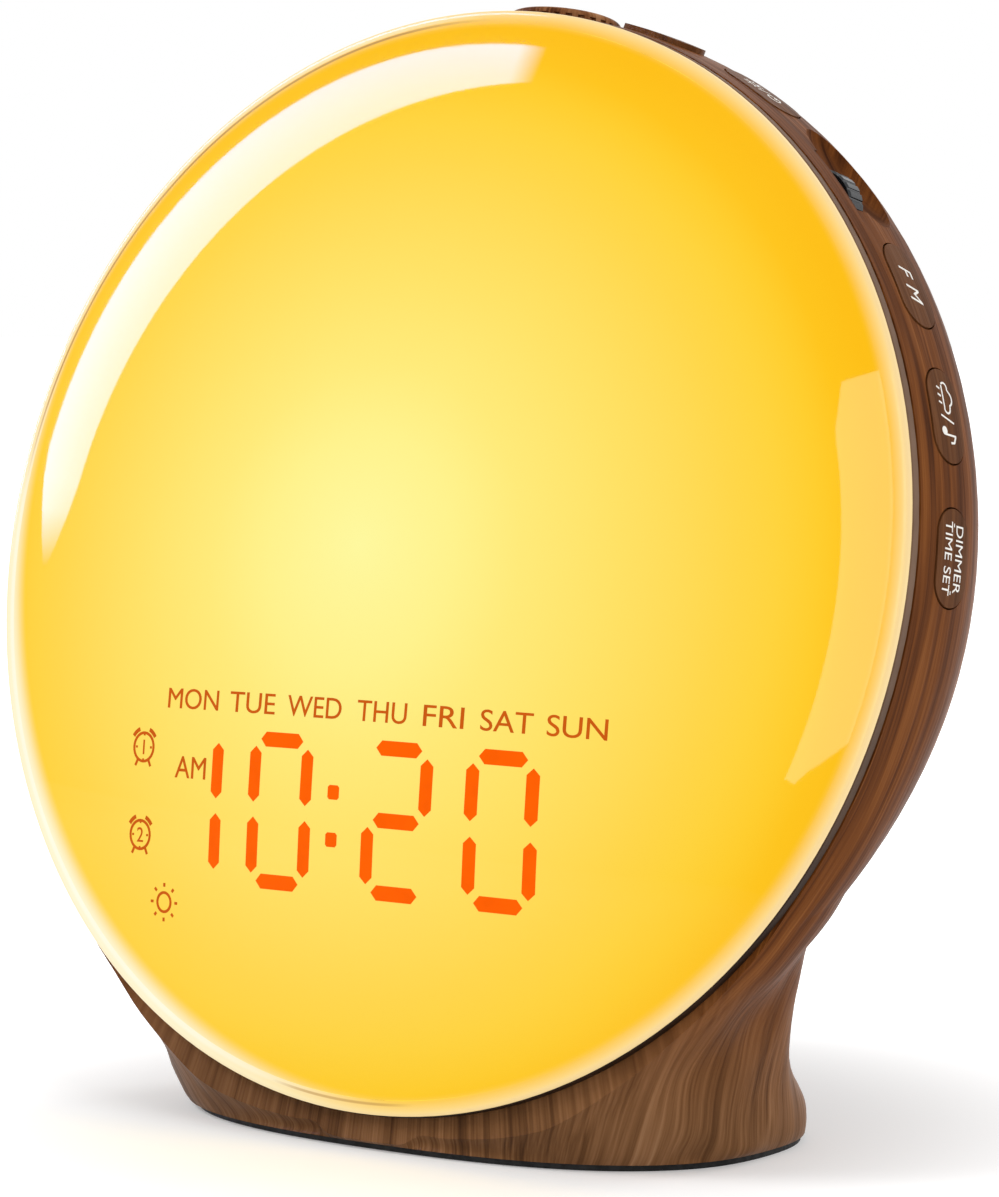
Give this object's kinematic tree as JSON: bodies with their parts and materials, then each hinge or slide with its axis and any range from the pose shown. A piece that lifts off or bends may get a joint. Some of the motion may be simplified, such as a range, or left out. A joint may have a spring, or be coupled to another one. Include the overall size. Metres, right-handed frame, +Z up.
{
  "type": "sunrise alarm clock",
  "caption": "Free-standing sunrise alarm clock: a domed glowing disc with a clock display, in a leaning moulded housing with keys, a knob and a thumbwheel on its rim.",
  "frame": {"origin": "on the table, under the middle of the foot", "axes": "+Z up, -Y towards the user (the lit disc faces -Y and leans back), +X to the right as the user sees it"},
  "size_m": [0.1746, 0.069, 0.1758],
  "materials": {
    "wood_look": "satin, walnut grain look",
    "key_plastic": "matt greyish brown",
    "bezel_plastic": "satin brown",
    "edge_lens": "clear, polished",
    "diffuser": "milky, lit amber yellow",
    "white_plastic": "plain white",
    "lamp": "lit",
    "digit": "lit orange",
    "circuit_board": "green, solder mask",
    "component_black": "moulded",
    "steel": "plated",
    "brass_part": "plain",
    "paper_cone": "black paper",
    "magnet_iron": "plain",
    "foot_rubber": "dull black",
    "knob_plastic": "satin brown"
  },
  "bodies": {
    "clock": {"rear_housing": "wood_look", "bezel_ring": "bezel_plastic", "lens_ring": "edge_lens", "diffuser_dome": "diffuser", "reflector_pan": "white_plastic", "light_board": "white_plastic", "lamps": "lamp", "display_module": "component_black", "digit_bars": "digit", "main_board": "circuit_board", "board_screws": "steel", "housing_screws": "steel", "key_board_right": "circuit_board", "key_board_left": "circuit_board", "switches_right": "component_black", "switches_left": "component_black", "volume_pot": "component_black", "knob_encoder": "steel", "speaker_frame": "steel", "speaker_magnet": "magnet_iron", "speaker_cone": "paper_cone", "power_inlet": "component_black", "charge_port": "steel", "port_board": "circuit_board", "coin_cell": "steel", "cell_contact": "brass_part", "base_plate": "component_black", "base_screws": "steel", "foot_pad": "foot_rubber"},
    "snooze_button_body": {"snooze_button": "key_plastic"},
    "light_colour_button_body": {"light_colour_button": "key_plastic"},
    "fm_button_body": {"fm_button": "key_plastic"},
    "sound_button_body": {"sound_button": "key_plastic"},
    "dimmer_button_body": {"dimmer_button": "key_plastic"},
    "alarm_one_button_body": {"alarm_one_button": "key_plastic"},
    "alarm_two_button_body": {"alarm_two_button": "key_plastic"},
    "sleep_button_body": {"sleep_button": "key_plastic"},
    "knob": {"light_knob": "knob_plastic", "knob_shaft": "brass_part"},
    "wheel": {"volume_wheel": "component_black"},
    "door": {"battery_door": "wood_look"}
  },
  "joints": [
    {"name": "snooze_press", "type": "slide", "parent": "clock", "child": "snooze_button_body", "axis": [-0.2924, -0.1939, -0.9364], "range_m": [0, 0.0005], "stiffness_N_per_m": 1200, "springref_m": -0.0003},
    {"name": "light_colour_press", "type": "slide", "parent": "clock", "child": "light_colour_button_body", "axis": [-0.515, -0.1738, -0.8394], "range_m": [0, 0.0005], "stiffness_N_per_m": 1200, "springref_m": -0.0003},
    {"name": "fm_press", "type": "slide", "parent": "clock", "child": "fm_button_body", "axis": [-0.8572, -0.1044, -0.5043], "range_m": [0, 0.0005], "stiffness_N_per_m": 1200, "springref_m": -0.0003},
    {"name": "sound_press", "type": "slide", "parent": "clock", "child": "sound_button_body", "axis": [-0.9563, -0.0593, -0.2863], "range_m": [0, 0.0005], "stiffness_N_per_m": 1200, "springref_m": -0.0003},
    {"name": "dimmer_press", "type": "slide", "parent": "clock", "child": "dimmer_button_body", "axis": [-0.9986, -0.0106, -0.0512], "range_m": [0, 0.0005], "stiffness_N_per_m": 1200, "springref_m": -0.0003},
    {"name": "alarm_one_press", "type": "slide", "parent": "clock", "child": "alarm_one_button_body", "axis": [0.8572, -0.1044, -0.5043], "range_m": [0, 0.0005], "stiffness_N_per_m": 1200, "springref_m": -0.0003},
    {"name": "alarm_two_press", "type": "slide", "parent": "clock", "child": "alarm_two_button_body", "axis": [0.9563, -0.0593, -0.2863], "range_m": [0, 0.0005], "stiffness_N_per_m": 1200, "springref_m": -0.0003},
    {"name": "sleep_press", "type": "slide", "parent": "clock", "child": "sleep_button_body", "axis": [0.9986, -0.0106, -0.0512], "range_m": [0, 0.0005], "stiffness_N_per_m": 1200, "springref_m": -0.0003},
    {"name": "light_knob_turn", "type": "hinge", "parent": "clock", "child": "knob", "pos_m": [0, 0.01798, 0.17046], "axis": [0, 0.2028, 0.9792], "continuous": true},
    {"name": "volume_wheel_turn", "type": "hinge", "parent": "clock", "child": "wheel", "pos_m": [0.05856, 0.00273, 0.14315], "axis": [0, -0.9792, 0.2028], "range_deg": [-140, 140]},
    {"name": "battery_door_hinge", "type": "hinge", "parent": "clock", "child": "door", "pos_m": [0, 0.01606, 0.05183], "axis": [-1, 0, 0], "range_deg": [0, 80]}
  ]
}
